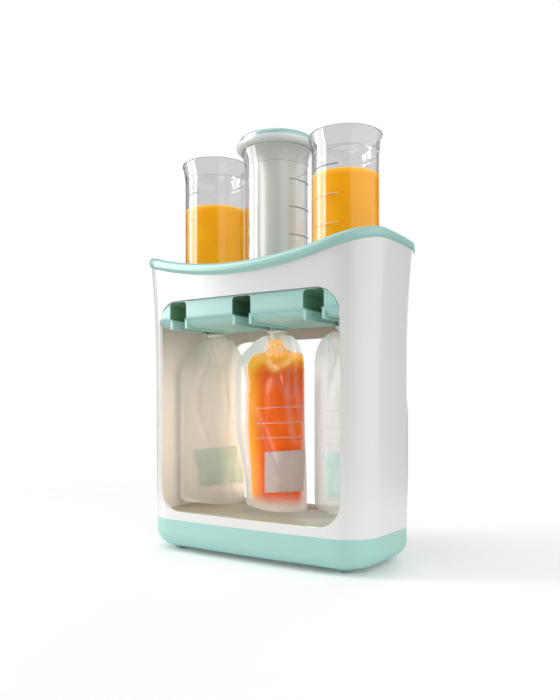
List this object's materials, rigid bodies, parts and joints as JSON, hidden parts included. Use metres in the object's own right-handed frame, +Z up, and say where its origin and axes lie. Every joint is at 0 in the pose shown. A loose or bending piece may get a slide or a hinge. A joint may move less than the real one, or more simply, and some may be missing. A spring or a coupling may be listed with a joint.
{
  "type": "food pouch filling station",
  "caption": "Tabletop station that presses puree from clear measuring tubes into hanging baby food pouches; saddle-rimmed shell, open window, slotted rail.",
  "frame": {"origin": "middle of the footprint, on the surface the feet stand on", "axes": "+X across the width to the right as seen from the open front, +Y from the front to the back, +Z up"},
  "size_m": [0.2156, 0.1116, 0.33],
  "materials": {
    "mint_plastic": "satin moulded plastic",
    "shell_plastic": "glossy white moulded plastic",
    "cream_plastic": "satin moulded plastic",
    "soft_seal": "soft wiping seal",
    "foot_rubber": "soft moulded foot",
    "clear_plastic": "clear moulded plastic",
    "spout_plastic": "translucent moulded plastic",
    "pouch_film": "clear laminated film",
    "puree": "thick wet puree"
  },
  "bodies": {
    "housing": {"base_tray": "mint_plastic", "floor_plate": "shell_plastic", "foot_front_left": "foot_rubber", "foot_front_right": "foot_rubber", "foot_rear_left": "foot_rubber", "foot_rear_right": "foot_rubber", "body_shell": "shell_plastic", "top_tray": "mint_plastic", "pouch_rail": "mint_plastic"},
    "left_tube": {"tube_left": "clear_plastic", "tube_puree_left": "puree"},
    "middle_tube": {"tube_middle": "clear_plastic"},
    "right_tube": {"tube_right": "clear_plastic", "tube_puree_right": "puree"},
    "press": {"press_cap": "mint_plastic", "press_shaft": "cream_plastic", "press_piston": "soft_seal"},
    "left_spout": {"pouch_spout_left": "spout_plastic"},
    "left_pouch": {"pouch_film_left": "pouch_film"},
    "middle_pouch": {"pouch_spout_middle": "spout_plastic", "pouch_film_middle": "pouch_film", "pouch_puree_middle": "puree"},
    "right_spout": {"pouch_spout_right": "spout_plastic"},
    "right_pouch": {"pouch_film_right": "pouch_film"}
  },
  "joints": [
    {"name": "tube_left_lift", "type": "slide", "parent": "housing", "child": "left_tube", "axis": [0, 0, 1], "range_m": [0, 0.06]},
    {"name": "tube_middle_lift", "type": "slide", "parent": "housing", "child": "middle_tube", "axis": [0, 0, 1], "range_m": [0, 0.06]},
    {"name": "tube_right_lift", "type": "slide", "parent": "housing", "child": "right_tube", "axis": [0, 0, 1], "range_m": [0, 0.06]},
    {"name": "press_pull", "type": "slide", "parent": "middle_tube", "child": "press", "axis": [0, 0, 1], "range_m": [0, 0.118]},
    {"name": "pouch_middle_slide", "type": "slide", "parent": "housing", "child": "middle_pouch", "axis": [0, -1, 0], "range_m": [0, 0.092]},
    {"name": "pouch_left_slide", "type": "slide", "parent": "housing", "child": "left_spout", "axis": [0, -1, 0], "range_m": [0, 0.092]},
    {"name": "pouch_left_turn", "type": "hinge", "parent": "left_spout", "child": "left_pouch", "pos_m": [-0.0623, 0, 0.18], "axis": [0, 0, 1], "range_deg": [-120, 0]},
    {"name": "pouch_right_slide", "type": "slide", "parent": "housing", "child": "right_spout", "axis": [0, -1, 0], "range_m": [0, 0.092]},
    {"name": "pouch_right_turn", "type": "hinge", "parent": "right_spout", "child": "right_pouch", "pos_m": [0.0623, 0, 0.18], "axis": [0, 0, 1], "range_deg": [0, 120]}
  ],
  "couplings": [
    {"joint": "pouch_left_turn", "follows": "pouch_left_slide", "rad_per_m": -22.689},
    {"joint": "pouch_right_turn", "follows": "pouch_right_slide", "rad_per_m": 22.689}
  ]
}
